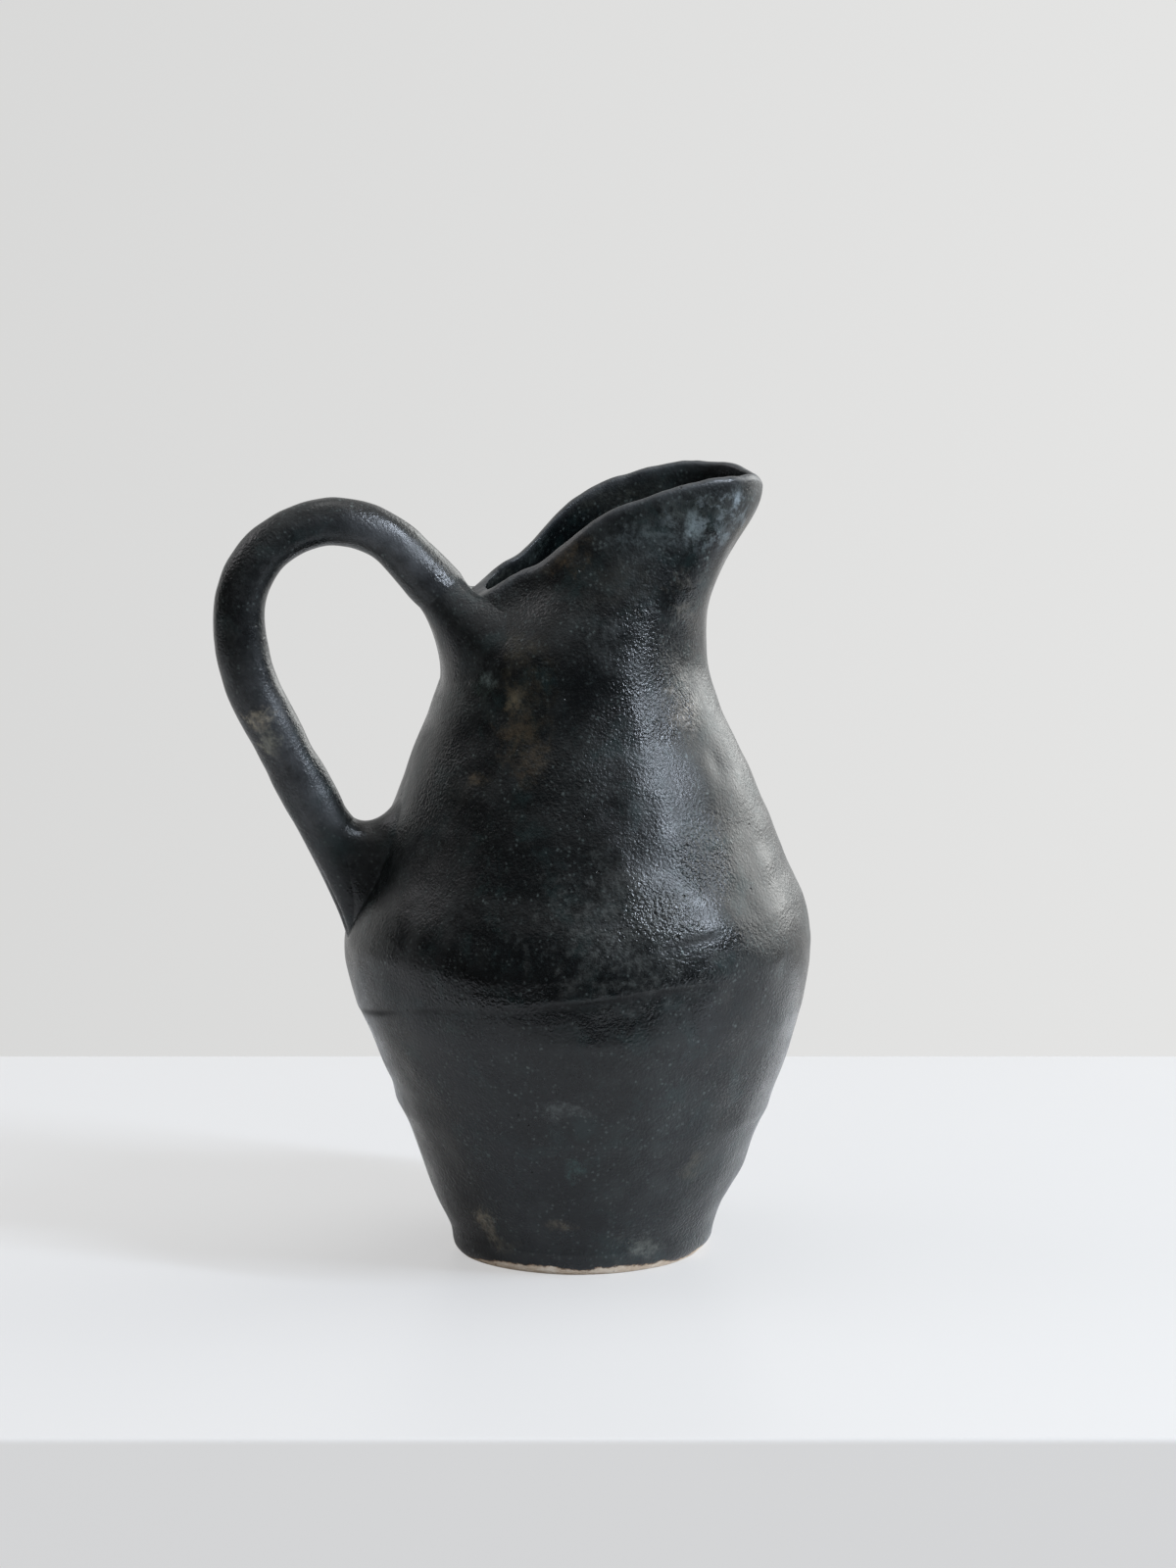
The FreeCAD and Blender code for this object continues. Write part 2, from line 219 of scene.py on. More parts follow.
# For each crease: how far above it a place is in mm, how strong it is there, and its own three sizes
def along_creases(turn, height, places):
    degrees = (np.degrees(turn) + 180) % 360 - 180
    wandering = height + crease_wander * wander_at(places)
    for line, width, groove, overhang in creases:
        line_turns, line_heights, strengths = zip(*line)
        away = wandering - np.interp(degrees, line_turns, line_heights)
        held = 0.65 + 0.8 * uneven(places * along_only, 19.0, 2.0 + line_heights[0])
        held = np.clip(held, 0, 1.2) * np.interp(degrees, line_turns, strengths, 0, 0)
        yield away, held, width, groove, overhang


# How far the hand left the outside of the wall proud of its plain form, in mm
def worked_proud(turn, height, places):
    proud = sum(most * uneven(places, size, start) for size, start, most in swells)
    wandering = height + band_wander * wander_at(places)
    for band_height, spread, most in bands:
        away = (wandering - band_height) / spread
        comes_and_goes = 0.35 + 0.9 * np.clip(uneven(places * along_only, 26.0, band_height) + 0.3, 0, 1)
        proud = proud + band_strength * most * comes_and_goes * np.exp(-away ** 2)
    # the clay rolls over above a crease, and runs out slowly below it
    for away, held, width, groove, overhang in along_creases(turn, height, places):
        reach = np.where(away > 0, roll_above, roll_below)
        rolled = np.tanh(away / roll_turn) * np.exp(-np.abs(away) / reach)
        under = np.where(away > 0, 1.0, run_out) * width
        proud = proud + held * (overhang * rolled - groove * np.exp(-(away / under) ** 2))
    from_axis = np.hypot(places[..., 0], places[..., 1])
    for mark_turn, mark_height, spread_round, spread_up, most in finger_marks:
        turned_away = (np.degrees(turn) - mark_turn + 180) % 360 - 180
        round_away = turned_away * np.pi / 180 * from_axis / spread_round
        up_away = (height - mark_height) / spread_up
        proud = proud + most * np.exp(-round_away ** 2 - up_away ** 2)
    return proud


# The worked wall: hand marks outside, softer ones inside
def worked_wall(turn, height, depth):
    places = plain_wall(turn, height, depth)
    proud = worked_proud(turn, height, plain_wall(turn, height, 0 * depth))
    if np.any(depth > 0):
        proud = (1 - depth) * proud - depth * inside_swell * uneven(places, 22.0, 41.7)
    return places + out_of_wall(turn, height, depth) * proud[..., None]


# A flat strip of clay laid on rows and columns of places in mm, its edges pressed together
def lay_strip(name, places, material, sharp_angle=math.radians(40)):
    rows, columns = places.shape[0] - 1, places.shape[1] - 1
    bpy.ops.object.select_all(action="DESELECT")
    bpy.ops.mesh.primitive_grid_add(x_subdivisions=columns, y_subdivisions=rows, size=1)
    piece = bpy.context.object
    piece.name = name
    flat = np.array([vertex.co for vertex in piece.data.vertices])
    column = np.rint((flat[:, 0] + 0.5) * columns).astype(int)
    row = np.rint((flat[:, 1] + 0.5) * rows).astype(int)
    piece.data.vertices.foreach_set("co", (places[row, column] / 1000).ravel())
    bpy.ops.object.mode_set(mode="EDIT")
    bpy.ops.mesh.select_all(action="SELECT")
    bpy.ops.mesh.remove_doubles(threshold=0.000004)
    bpy.ops.mesh.normals_make_consistent(inside=False)
    bpy.ops.object.mode_set(mode="OBJECT")
    bpy.ops.object.shade_smooth_by_angle(angle=sharp_angle)
    piece.data.materials.clear()
    piece.data.materials.append(material)
    return piece


# Keeps a value for each point of a piece, worked out from the points in mm, for its finish to read
def mark_points(piece, name, values_at):
    marks = piece.data.attributes.new(name, "FLOAT", "POINT")
    points = np.array([vertex.co for vertex in piece.data.vertices]) * 1000
    marks.data.foreach_set("value", values_at(points))


# One node of a finish, with its settings, and its sockets set or linked
def add_node(tree, kind, sockets, **settings):
    made = tree.nodes.new("ShaderNode" + kind)
    for setting, value in settings.items():
        setattr(made, setting, value)
    for socket, value in sockets.items():
        if isinstance(value, bpy.types.NodeSocket):
            tree.links.new(value, made.inputs[socket])
        else:
            made.inputs[socket].default_value = value
    return made


# A noise over the clay: a value from 0 to 1 at a size of so many mm
def cloud(tree, place, size, detail=3.0, roughness=0.55, skew=0.0):
    made = add_node(tree, "TexNoise", {"Vector": place, "Scale": 1000 / size, "Detail": detail,
                                       "Roughness": roughness, "Distortion": skew})
    return made.outputs["Fac"]


# Turns a value between two ends into 0 to 1, softly, or into any other pair of ends
def spread(tree, value, low, high, to_low=0.0, to_high=1.0):
    ends = {"From Min": low, "From Max": high, "To Min": to_low, "To Max": to_high}
    made = add_node(tree, "MapRange", {"Value": value, **ends}, interpolation_type="SMOOTHSTEP")
    return made.outputs["Result"]


# Two values worked into one
def joined(tree, operation, first, second):
    made = add_node(tree, "Math", {0: first, 1: second}, operation=operation)
    return made.outputs["Value"]


# One colour laid over another by a share from 0 to 1
def blend_colour(tree, share, under, over):
    made = add_node(tree, "Mix", {}, data_type="RGBA")
    for index, value in ((0, share), (6, under), (7, over)):
        if isinstance(value, bpy.types.NodeSocket):
            tree.links.new(value, made.inputs[index])
        else:
            made.inputs[index].default_value = value
    return made.outputs[2]


# Places where the glaze ran thin or picked up ash, and a few where shade or a highlight is painted: middle
# in mm, reach, colour, strength
thin_glaze_and_painted_light = (
    ((-92.0, 0.0, 190.0), (30.0, 20.0, 52.0), (0.020, 0.021, 0.021, 1), 0.75),
    ((-48.0, -38.0, 124.0), (22.0, 22.0, 24.0), (0.020, 0.020, 0.021, 1), 0.7),
    ((9.0, -33.0, 193.0), (12.0, 10.0, 15.0), (0.036, 0.040, 0.040, 1), 0.6),
    # painted shade: a patch darker than the black glaze on the front of the neck
    ((-5.0, -40.0, 176.0), (10.0, 9.0, 16.0), (0.0020, 0.0024, 0.0028, 1), 0.7),
    ((45.0, -20.5, 236.0), (1.8, 4.0, 3.4), (0.300, 0.360, 0.400, 1), 0.9),
    ((30.5, -27.0, 229.5), (2.6, 4.0, 3.8), (0.200, 0.250, 0.260, 1), 0.85),
    ((-24.7, -34.6, 178.0), (3.6, 3.6, 4.2), (0.170, 0.140, 0.090, 1), 0.8),
    ((-25.3, -37.8, 170.0), (6.0, 5.0, 7.0), (0.064, 0.046, 0.027, 1), 0.85),
    ((-21.7, -43.5, 162.0), (7.0, 6.0, 7.5), (0.042, 0.031, 0.019, 1), 0.75),
    ((29.5, -33.5, 177.0), (8.0, 7.0, 9.5), (0.220, 0.198, 0.172, 1), 0.75),
    ((-36.0, -36.0, 154.5), (4.0, 4.0, 2.2), (0.120, 0.090, 0.055, 1), 0.6),
    ((-41.0, -32.0, 151.0), (8.0, 6.0, 5.5), (0.030, 0.030, 0.027, 1), 0.6),
    ((-24.0, -31.0, 193.0), (5.0, 5.0, 12.0), (0.026, 0.024, 0.016, 1), 0.7),
    ((-33.9, -24.1, 181.0), (6.5, 6.0, 6.5), (0.022, 0.032, 0.028, 1), 0.8),
    ((-8.0, -24.0, 221.0), (8.0, 7.0, 8.0), (0.060, 0.042, 0.022, 1), 0.7),
    ((8.0, -30.0, 212.0), (12.0, 10.0, 9.0), (0.020, 0.019, 0.015, 1), 0.5),
    ((-33.5, -29.5, 15.5), (5.5, 5.0, 5.5), (0.150, 0.128, 0.090, 1), 0.75),
    ((-30.0, -30.0, 7.5), (7.0, 6.0, 3.5), (0.080, 0.070, 0.050, 1), 0.6),
    ((-11.6, -44.1, 17.0), (5.5, 4.0, 2.2), (0.110, 0.090, 0.062, 1), 0.55),
    ((13.4, -39.8, 8.6), (8.0, 6.0, 4.6), (0.120, 0.128, 0.112, 1), 0.75),
    ((-13.0, -58.0, 57.5), (12.0, 6.0, 3.0), (0.085, 0.098, 0.096, 1), 0.6),
    ((-45.0, -50.0, 82.0), (7.0, 6.0, 2.5), (0.035, 0.055, 0.047, 1), 0.6),
    ((30.0, -25.0, 232.0), (22.0, 12.0, 7.0), (0.040, 0.046, 0.043, 1), 0.6),
    ((18.0, -27.0, 226.0), (14.0, 9.0, 6.0), (0.070, 0.085, 0.088, 1), 0.45),
    ((52.0, -12.0, 226.0), (6.0, 8.0, 7.0), (0.120, 0.095, 0.060, 1), 0.45),
    ((-42.0, -28.0, 190.0), (5.0, 5.0, 3.0), (0.060, 0.075, 0.078, 1), 0.55),
    ((12.0, 24.0, 232.0), (26.0, 9.0, 6.0), (0.050, 0.052, 0.042, 1), 0.35),
    ((-14.0, 22.0, 218.0), (9.0, 9.0, 7.0), (0.050, 0.065, 0.062, 1), 0.6),
    # painted highlight: a pale tan patch where the window shines on the throat
    ((27.0, -22.0, 207.0), (7.0, 8.0, 12.0), (0.110, 0.102, 0.086, 1), 0.6),
    ((-22.0, -37.0, 180.0), (9.0, 9.0, 32.0), (0.024, 0.020, 0.013, 1), 0.65),
    # painted shade: a near-black band across the front of the belly above the crease
    ((-32.0, -56.0, 99.0), (46.0, 30.0, 7.0), (0.0012, 0.0014, 0.0016, 1), 0.95),
    ((-9.0, -51.0, 37.0), (4.5, 5.0, 4.5), (0.030, 0.060, 0.056, 1), 0.75),
    ((28.0, -44.0, 37.0), (5.0, 5.0, 7.0), (0.070, 0.063, 0.045, 1), 0.6),
    ((6.0, -66.0, 112.0), (28.0, 15.0, 22.0), (0.052, 0.056, 0.054, 1), 0.8),
    ((-27.0, 14.0, 209.0), (8.0, 8.0, 5.0), (0.110, 0.120, 0.105, 1), 0.8),
    ((-32.0, -26.0, 184.0), (3.5, 4.0, 2.4), (0.110, 0.140, 0.135, 1), 0.75),
    ((38.0, 30.0, 150.0), (9.0, 9.0, 8.0), (0.080, 0.060, 0.036, 1), 0.6),
    ((-40.0, 52.0, 70.0), (10.0, 8.0, 6.0), (0.050, 0.055, 0.048, 1), 0.6),
    ((-99.0, -7.0, 170.5), (4.6, 6.0, 4.6), (0.460, 0.400, 0.280, 1), 1.0),
    ((-95.6, -7.0, 164.2), (3.8, 5.0, 5.0), (0.330, 0.325, 0.240, 1), 1.0),
)


# Places where the skin is pebbly: middle in mm, reach, strength
pebbly_places = (
    ((27.0, -22.0, 206.0), (8.0, 9.0, 12.0), 0.9),
    ((29.5, -33.5, 177.0), (9.0, 9.0, 11.0), 0.75),
    ((30.0, -53.0, 131.0), (13.0, 12.0, 16.0), 1.0),
    ((14.0, -64.0, 116.0), (17.0, 9.0, 15.0), 0.8),
    ((-38.0, -60.0, 91.5), (26.0, 14.0, 3.5), 1.0),
    ((52.0, -36.0, 62.0), (12.0, 12.0, 16.0), 0.7),
)


# How far a place is from a middle, as a share of a reach given in mm
def away_from(tree, place, middle, reach):
    away = add_node(tree, "Mapping", {"Vector": place,
                                      "Location": [-m / r for m, r in zip(middle, reach)],
                                      "Scale": [1000 / r for r in reach]})
    return add_node(tree, "VectorMath", {0: away.outputs["Vector"]}, operation="LENGTH").outputs["Value"]


# Colours of the glaze: thick, dusty, in its grain and its blue-green clouds, in its specks, where it is
# milky, where it is worn at the lip together with a painted sheen on the handle, and a painted shade down in
# a crease
thick_black = (0.0032, 0.0040, 0.0044, 1)
dusty_black = (0.0150, 0.0180, 0.0180, 1)
grain_grey = (0.022, 0.030, 0.030, 1)
cloudy_teal = (0.0120, 0.0235, 0.0235, 1)
pale_speck = (0.090, 0.112, 0.108, 1)
milky_grey = (0.13, 0.155, 0.165, 1)
wear_and_sheen_grey = (0.075, 0.080, 0.087, 1)
crease_painted_shade = (0.0010, 0.0012, 0.0013, 1)
# Specks: cells to the metre, the share of cells left out, how strong, and how far over the cell
speck_sizes = ((620.0, 0.42, 0.50, 0.40), (330.0, 0.82, 0.80, 0.24))


# The satin black glaze: it gives back its colour, roughness and the relief of its skin
def black_glaze_skin(tree, place):
    broad = cloud(tree, place, 46.0, 4.0, 0.62, 0.6)
    middling = cloud(tree, place, 9.0, 4.0, 0.65)
    fine = cloud(tree, place, 1.7, 3.0, 0.6)
    dusty = joined(tree, "MULTIPLY", spread(tree, broad, 0.40, 0.66), spread(tree, middling, 0.36, 0.68))
    colour = blend_colour(tree, dusty, thick_black, dusty_black)
    grain = joined(tree, "MULTIPLY", spread(tree, fine, 0.50, 0.74), 0.30)
    colour = blend_colour(tree, grain, colour, grain_grey)
    teal = joined(tree, "MULTIPLY", spread(tree, cloud(tree, place, 14.0, 4.0, 0.7, 0.3), 0.50, 0.70), 0.55)
    colour = blend_colour(tree, teal, colour, cloudy_teal)
    # small pale specks, in clusters
    crowded = spread(tree, middling, 0.40, 0.60, 0.18, 1.0)
    nudge = add_node(tree, "TexNoise", {"Vector": place, "Scale": 1500.0, "Detail": 1.0})
    nudge = add_node(tree, "VectorMath", {0: nudge.outputs["Color"], "Scale": 0.0009}, operation="SCALE")
    nudged = add_node(tree, "VectorMath", {0: nudge.outputs["Vector"], 1: place}, operation="ADD")
    for per_metre, left_out, most, size in speck_sizes:
        cells = add_node(tree, "TexVoronoi", {"Vector": nudged.outputs["Vector"], "Scale": per_metre})
        near_middle = spread(tree, cells.outputs["Distance"], 0.05, size, most, 0.0)
        lucky = add_node(tree, "SeparateColor", {"Color": cells.outputs["Color"]})
        chosen = spread(tree, lucky.outputs[0], left_out, left_out + 0.08)
        specks = joined(tree, "MULTIPLY", joined(tree, "MULTIPLY", near_middle, chosen), crowded)
        colour = blend_colour(tree, specks, colour, pale_speck)
    # thin places, painted shades and a painted highlight, stippled and soft at their edges
    ragged = cloud(tree, place, 6.0, 5.0, 0.7)
    stipple = spread(tree, cloud(tree, place, 1.7, 3.0, 0.7), 0.36, 0.64, 0.25, 1.0)
    for middle, reach, tint, strength in thin_glaze_and_painted_light:
        rough_length = joined(tree, "ADD", away_from(tree, place, middle, reach),
                              spread(tree, ragged, 0.25, 0.75, 0.9, -0.5))
        share = joined(tree, "MULTIPLY", spread(tree, rough_length, 0.15, 1.45, strength, 0.0), stipple)
        colour = blend_colour(tree, share, colour, tint)
    # pale streaks low on the beak, where the glaze is crawled and milky
    streaky = add_node(tree, "Mapping", {"Vector": place, "Rotation": (0, math.radians(35), 0),
                                         "Scale": (0.8, 1.0, 0.9)})
    streaks = cloud(tree, streaky.outputs["Vector"], 4.2, 5.0, 0.75, 0.3)
    from_streaks = away_from(tree, place, (40.0, -22.0, 230.5), (19.0, 16.0, 9.5))
    by_the_beak = spread(tree, from_streaks, 0.6, 1.3, 1.0, 0.0)
    milky = joined(tree, "MULTIPLY", by_the_beak, spread(tree, streaks, 0.47, 0.64))
    colour = blend_colour(tree, joined(tree, "MULTIPLY", milky, 0.6), colour, milky_grey)
    # paler where the glaze ran thin over an edge and where a sheen is painted on the handle's sides, and
    # painted shade down in the creases, which are also dry
    wear_and_painted_sheen = add_node(tree, "Attribute", {}, attribute_name="wear_and_painted_sheen").outputs["Fac"]
    wear_and_sheen_share = joined(tree, "MULTIPLY", wear_and_painted_sheen, spread(tree, ragged, 0.25, 0.65, 0.35, 0.9))
    colour = blend_colour(tree, wear_and_sheen_share, colour, wear_and_sheen_grey)
    crease_shade = add_node(tree, "Attribute", {}, attribute_name="crease_shade").outputs["Fac"]
    colour = blend_colour(tree, crease_shade, colour, crease_painted_shade)
    # satin, with drier clouds
    roughness = joined(tree, "ADD", spread(tree, middling, 0.30, 0.70, 0.20, 0.33),
                       spread(tree, broad, 0.35, 0.65, -0.03, 0.08))
    roughness = joined(tree, "ADD", roughness, joined(tree, "MULTIPLY", wear_and_painted_sheen, 0.15))
    roughness = add_node(tree, "Mix", {0: crease_shade, 2: roughness, 3: 0.9}, data_type="FLOAT").outputs[0]
    # the skin: pebbles that are stronger in places, a softer swell, fine grain, and pinholes
    pebbly = spread(tree, cloud(tree, place, 26.0, 2.0, 0.5), 0.46, 0.70, 0.20, 0.50)
    for middle, reach, strength in pebbly_places:
        here = spread(tree, away_from(tree, place, middle, reach), 0.35, 1.25, strength, 0.0)
        pebbly = joined(tree, "MAXIMUM", pebbly, here)
    pebbles = add_node(tree, "TexVoronoi", {"Vector": place, "Scale": 1600.0, "Smoothness": 0.7},
                       feature="SMOOTH_F1")
    peel = joined(tree, "SUBTRACT", cloud(tree, place, 1.0, 1.0, 0.5),
                  joined(tree, "MULTIPLY", pebbles.outputs["Distance"], 0.30))
    peel = joined(tree, "MULTIPLY", peel, pebbly)
    peel = joined(tree, "ADD", peel, joined(tree, "MULTIPLY", cloud(tree, place, 5.0, 1.0, 0.4), 0.15))
    peel = joined(tree, "ADD", peel, joined(tree, "MULTIPLY", cloud(tree, place, 0.8, 2.0, 0.6), 0.17))
    holes = add_node(tree, "TexVoronoi", {"Vector": place, "Scale": 150.0})
    hole_pick = add_node(tree, "SeparateColor", {"Color": holes.outputs["Color"]})
    pits = joined(tree, "MULTIPLY", spread(tree, holes.outputs["Distance"], 0.02, 0.085, 1.0, 0.0),
                  spread(tree, hole_pick.outputs[1], 0.80, 0.84))
    relief = joined(tree, "SUBTRACT", peel, pits)
    return colour, roughness, relief


# A finish from its skin, with the sockets that are the same all over
def finish_from(name, skin, coat):
    material = bpy.data.materials.new(name)
    material.use_nodes = True
    tree = material.node_tree
    shader = tree.nodes["Principled BSDF"]
    place = add_node(tree, "TexCoord", {}).outputs["Object"]
    colour, roughness, relief = skin(tree, place)
    bump = add_node(tree, "Bump", {"Height": relief, "Strength": 0.9, "Distance": 0.0006})
    tree.links.new(colour, shader.inputs["Base Color"])
    tree.links.new(roughness, shader.inputs["Roughness"])
    tree.links.new(bump.outputs["Normal"], shader.inputs["Normal"])
    for socket, value in coat.items():
        shader.inputs[socket].default_value = value
    return material


# Colours of the fired clay: its two tones, its iron stains, and the brown edge of the glaze
clay_dark = (0.62, 0.50, 0.38, 1)
clay_pale = (0.80, 0.71, 0.60, 1)
iron_stain = (0.13, 0.065, 0.03, 1)
edge_brown = (0.16, 0.085, 0.04, 1)


# Bare clay under the glaze line, with the glaze above it: the slab's own "glaze_line" says how far
# above the line a place is, in mm
def foot_skin(tree, place):
    colour, roughness, relief = black_glaze_skin(tree, place)
    above = add_node(tree, "Attribute", {}, attribute_name="glaze_line").outputs["Fac"]
    ragged = cloud(tree, place, 2.2, 4.0, 0.65)
    line = joined(tree, "ADD", above, spread(tree, ragged, 0.25, 0.75, -0.55, 0.55))
    bare = spread(tree, line, -0.12, 0.10, 1.0, 0.0)
    brown_edge = joined(tree, "MULTIPLY", spread(tree, line, -0.65, -0.1), 0.8)
    mottle = cloud(tree, place, 5.0, 5.0, 0.65)
    clay = blend_colour(tree, spread(tree, mottle, 0.35, 0.68), clay_dark, clay_pale)
    stains = joined(tree, "MULTIPLY", spread(tree, cloud(tree, place, 3.2, 3.0, 0.6), 0.58, 0.66), 0.75)
    clay = blend_colour(tree, stains, clay, iron_stain)
    clay = blend_colour(tree, brown_edge, clay, edge_brown)
    colour = blend_colour(tree, bare, colour, clay)
    roughness = add_node(tree, "Mix", {0: bare, 2: roughness, 3: 0.85}, data_type="FLOAT").outputs[0]
    grit = joined(tree, "MULTIPLY", cloud(tree, place, 0.9, 3.0, 0.7), bare)
    return colour, roughness, joined(tree, "ADD", relief, grit)


bare_clay = finish_from("bare_clay_foot", foot_skin, {"Specular IOR Level": 0.45})
turns = np.linspace(0, 2 * np.pi, columns_round + 1)[None, :]
# The glaze line over the foot: its middle, lowest and highest height in mm, and the places where the
# glaze ran lower: turn and reach in degrees, and how far in mm
line_middle, line_lowest, line_highest = 2.7, 0.5, 4.2
glaze_runs = ((198.0, 17.0, 1.9), (313.0, 20.0, 1.3))
# The underside is bare out to this radius, in mm
underside_reach = 37.0


# The height of the glaze line over the foot at each turn, in mm
def glaze_line_height(turn):
    ring = np.stack([np.cos(turn) * 40, np.sin(turn) * 40, 0 * turn], -1)
    height = line_middle + 1.3 * uneven(ring, 13.0, 71.0) + 0.9 * uneven(ring, 4.5, 23.0)
    for run_turn, reach, depth in glaze_runs:
        height = height - depth * np.exp(-((np.degrees(turn) % 360 - run_turn) / reach) ** 2)
    return np.clip(height, line_lowest, line_highest)


# How far places on the slab are above the glaze line in mm, with the whole underside well below it
def above_the_line(points):
    above = points[:, 2] - glaze_line_height(np.arctan2(points[:, 1], points[:, 0]))
    above[(np.hypot(points[:, 0], points[:, 1]) < underside_reach) & (points[:, 2] < 1)] = -3.0
    return above


# The slab's thickness, the height of its worn bottom edge, and the step up to the glaze, in mm
floor_thickness = 7.0
worn_height = 1.2
glaze_step = 0.22
# Its flat sides have their rows up to this share of the radius
edge_share = 0.97
edge_heights = np.concatenate([np.linspace(0, worn_height, 6), np.linspace(1.5, floor_thickness, 19)])
slab_rows = [(share, 0.0) for share in np.linspace(0, edge_share, 14)]
slab_rows += [(1.0, height) for height in edge_heights]
slab_rows += [(share, floor_thickness) for share in np.linspace(edge_share, 0, 8)]
shares = np.array([row[0] for row in slab_rows])[:, None]
heights = np.array([row[1] for row in slab_rows])[:, None] + 0 * turns
edge = worked_wall(turns + 0 * heights, heights, 0 * heights)
above_line = heights - glaze_line_height(turns + 0 * heights)
step = glaze_step * np.clip(above_line / 0.5 + 0.5, 0, 1) - glaze_step
edge = edge + out_of_wall(turns + 0 * heights, heights, 0 * heights) * (step * (shares > 0.99))[..., None]
slab_places = edge.copy()
slab_places[..., :2] *= shares[..., None]
slab_places[..., 2] = heights
slab = lay_strip("floor_round", slab_places, bare_clay, math.radians(60))
mark_points(slab, "glaze_line", above_the_line)
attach(slab, "root")
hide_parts("floor_slab")

# The rings of the wall: flat strips of soft clay, each bent round, lapped over the one below and
# smoothed with the fingers, so that their joints show only as soft bands and a few open creases.
# All are dipped in one satin black glaze with a blue-green cast.
black_glaze = finish_from("satin_black_glaze", black_glaze_skin, {"Specular IOR Level": 0.36})
ring_heights = (floor_thickness, 44.92, 75.45, 112.45, 151.3, 183.67)
ring_names = ("foot_ring", "lower_ring", "belly_ring", "shoulder_ring", "throat_ring")
# How much a lap rises through the wall, and how far apart the rows are outside and inside, in mm
lap_rise = 3.0
outside_step, inside_step = 0.8, 2.5
lap_depths = np.linspace(0, 1, 5)[1:-1]
# The painted shade of a crease: how far below it its middle lies, and its reach, in mm
dark_drop, dark_reach = 0.4, 1.1


# Rows of a ring: up the outside, over the lap, down the inside and back out under it
def ring_rows(bottom, top, bottom_lap, top_lap):
    outside = np.linspace(bottom, top, int((top - bottom) / outside_step) + 2)
    inside = np.linspace(top + top_lap, bottom + bottom_lap, int((top - bottom) / inside_step) + 2)
    rows = [(height, 0) for height in outside]
    rows += [(top + top_lap * depth, depth) for depth in lap_depths]
    rows += [(height, 1) for height in inside]
    rows += [(bottom + bottom_lap * depth, depth) for depth in lap_depths[::-1]]
    return rows + rows[:1]


# How strongly a crease's painted shade falls on places on the wall, from 0 to 1
def painted_crease_shade_at(points):
    turn = np.arctan2(points[:, 1], points[:, 0])
    deep = [held * np.exp(-((away + dark_drop) / dark_reach) ** 2)
            for away, held, *_ in along_creases(turn, points[:, 2], points)]
    return np.clip(np.max(deep, axis=0), 0, 0.9)


for name, bottom, top in zip(ring_names, ring_heights, ring_heights[1:]):
    rows = ring_rows(bottom, top, 0 if name == "foot_ring" else lap_rise, lap_rise)
    row_heights = np.array([row[0] for row in rows], float)[:, None] + 0 * turns
    row_depths = np.array([row[1] for row in rows], float)[:, None] + 0 * turns
    ring = lay_strip(name.replace("_ring", "_wall"),
                     worked_wall(turns + 0 * row_heights, row_heights, row_depths), black_glaze)
    mark_points(ring, "crease_shade", painted_crease_shade_at)
    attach(ring, "root")
    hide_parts(name)

# The beak ring: the last strip, drawn up and forward into the beak, pinched in behind it, and cut
# away with a knife to a low notch over the handle. The cut edge is softened with a wet sponge.

# Line of the rim seen from the side, in mm
rim_line = ((-58.76, 202.58), (-32.0, 206.3), (-25.31, 210.95), (-20.4, 214.3), (-15.94, 216.16),
            (-11.48, 219.69), (-0.78, 229.55), (8.59, 235.13), (16.17, 238.11), (28.66, 241.64),
            (42.93, 243.35), (49.5, 243.1), (53.6, 242.2), (56.8, 239.8), (60.0, 235.5))
rim_at = smooth_line([place[0] for place in rim_line], [place[1] for place in rim_line])
# The lip's round, the reach of the wear below it, and a middling height of the rim, in mm
lip_round, lip_wear = 1.5, 1.8
rim_guess = 225.0


# Height of the rim where the wall meets it, found by going up until the two agree
def rim_height(turn, depth):
    height = rim_guess + 0 * turn
    for _ in range(40):
        height = 0.5 * height + 0.5 * rim_at(plain_wall(turn, height, depth)[..., 0])
    return height


beak_bottom = ring_heights[-1]
beak_up = np.linspace(0, 1, 80)
beak_down = np.linspace(1, 0, 26)
over_lip = np.linspace(0, np.pi, 13)[1:-1]
beak_rows = [(share, 0.0, 1.0) for share in beak_up]
beak_rows += [(1.0, (1 - math.cos(over)) / 2, 1 - math.sin(over) ** 0.8) for over in over_lip]
beak_rows += [(share, 1.0, 1.0) for share in beak_down]
beak_rows += [(0.0, depth, 0.0) for depth in lap_depths[::-1]]
beak_rows += beak_rows[:1]
row_share, row_depth, row_drop = [np.array(column, float)[:, None] + 0 * turns for column in zip(*beak_rows)]
turn_grid = turns + 0 * row_share
start = beak_bottom + lap_rise * row_depth
lip_ring = np.stack([np.cos(turn_grid) * 40, np.sin(turn_grid) * 30, 0 * turn_grid], -1)
lip_wave = 0.55 * uneven(lip_ring, 9.0, 15.0) + 0.25 * uneven(lip_ring, 3.5, 33.0)
rim_top = rim_height(turn_grid, row_depth) + lip_wave - lip_round * row_drop
beak_heights = start + row_share * (rim_top - start)
beak = lay_strip("beak_wall", worked_wall(turn_grid, beak_heights, row_depth), black_glaze)


# The glaze is thin over the cut edge
def worn_by_the_lip(points):
    below_rim = rim_at(points[:, 0]) - points[:, 2]
    return 0.6 * np.exp(-(below_rim / lip_wear) ** 2)


mark_points(beak, "wear_and_painted_sheen", worn_by_the_lip)
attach(beak, "root")
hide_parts("beak_ring")

# Two coils inside: one pressed into the corner of the floor, one smeared over the belly joint.
# They are just as the frame has them, with the same glaze as the wall.
for name in ("floor_coil", "belly_coil"):
    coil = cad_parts[name]
    coil.data.materials.clear()
    coil.data.materials.append(black_glaze)

